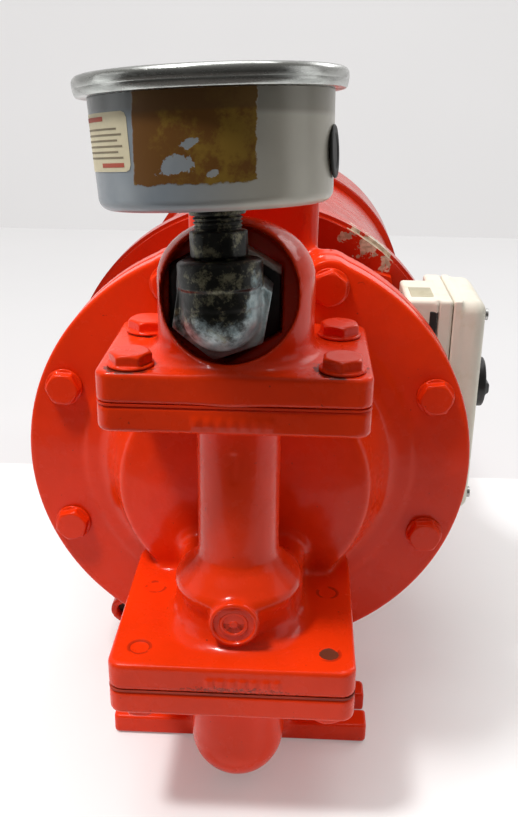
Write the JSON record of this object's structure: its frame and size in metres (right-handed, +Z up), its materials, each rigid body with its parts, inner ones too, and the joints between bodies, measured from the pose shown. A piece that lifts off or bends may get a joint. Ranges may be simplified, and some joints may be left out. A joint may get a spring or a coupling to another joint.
{
  "type": "close-coupled centrifugal water pump",
  "caption": "Close-coupled electric water pump with a flanged inlet head, sump, round bolted cover, smooth-shelled motor, starter box and a pressure gauge.",
  "frame": {"origin": "on the floor, under the middle of the pump foot", "axes": "+Y along the shaft from the pump end to the motor fan, +X to the starter box, +Z up"},
  "size_m": [0.2723, 0.5791, 0.3666],
  "materials": {
    "red_enamel": "glossy enamel, chipped",
    "gasket": "matte",
    "steel": "machined",
    "bearing_steel": "ground",
    "bronze": "cast, machined",
    "seal_rubber": "moulded",
    "ceramic": "lapped ceramic",
    "laminations": "stacked sheet",
    "copper_winding": "varnished",
    "cream_plastic": "aged, satin",
    "black_plastic": "satin",
    "rusty_iron": "rusted",
    "galvanised": "galvanised, grimy",
    "gauge_paint": "grey enamel",
    "bezel_steel": "polished, scratched",
    "clear_glass": "clear",
    "dial_white": "matte white"
  },
  "bodies": {
    "pump": {"sump_casting": "red_enamel", "sump_gasket": "gasket", "suction_cover": "red_enamel", "inlet_gasket": "gasket", "inlet_head": "red_enamel", "inlet_bolts": "red_enamel", "sump_bolts": "red_enamel", "cover_gasket": "gasket", "cover_bolts": "red_enamel", "cover_washers": "red_enamel", "volute_casing": "red_enamel", "wear_ring": "bronze", "seal_plate": "red_enamel", "casing_screws": "steel", "seal_seat": "ceramic", "adaptor_bolts": "red_enamel", "motor_flange": "red_enamel", "front_bearing_outer": "bearing_steel", "rear_bearing_outer": "bearing_steel", "motor_frame": "red_enamel", "stator_core": "laminations", "stator_windings": "copper_winding", "rear_shield": "red_enamel", "shield_screws": "steel", "fan_cowl": "red_enamel", "cowl_screws": "steel", "motor_feet": "red_enamel", "foot_bolts": "steel", "starter_bracket": "steel", "starter_base": "cream_plastic", "starter_cover": "cream_plastic", "starter_screws": "steel", "switch_block": "black_plastic", "cable_gland": "black_plastic", "drain_plug": "rusty_iron", "port_bushing": "rusty_iron", "gauge_elbow": "galvanised", "gauge_stem": "galvanised", "gauge_case": "gauge_paint", "gauge_bezel": "bezel_steel", "gauge_glass": "clear_glass", "gauge_dial": "dial_white", "gauge_movement": "bronze", "gauge_bourdon_tube": "bronze", "blowout_plug": "seal_rubber"},
    "rotor": {"seal_head": "seal_rubber", "impeller": "bronze", "impeller_nut": "bronze", "impeller_key": "steel", "motor_shaft": "steel", "front_bearing_inner": "bearing_steel", "front_bearing_balls": "bearing_steel", "rear_bearing_inner": "bearing_steel", "rear_bearing_balls": "bearing_steel", "rotor_core": "laminations", "cooling_fan": "black_plastic"},
    "knob": {"switch_knob": "black_plastic"},
    "pointer": {"gauge_pointer": "black_plastic"}
  },
  "joints": [
    {"name": "rotor_spin", "type": "hinge", "parent": "pump", "child": "rotor", "pos_m": [0, 0.2, 0.148], "axis": [0, 1, 0], "continuous": true},
    {"name": "switch_turn", "type": "hinge", "parent": "pump", "child": "knob", "pos_m": [0.1345, 0.107, 0.174], "axis": [1, 0, 0], "range_deg": [0, 90]},
    {"name": "gauge_needle", "type": "hinge", "parent": "pump", "child": "pointer", "pos_m": [-0.01085, -0.05227, 0.34948], "axis": [0.0555, -0.1132, -0.992], "range_deg": [0, 270]}
  ]
}
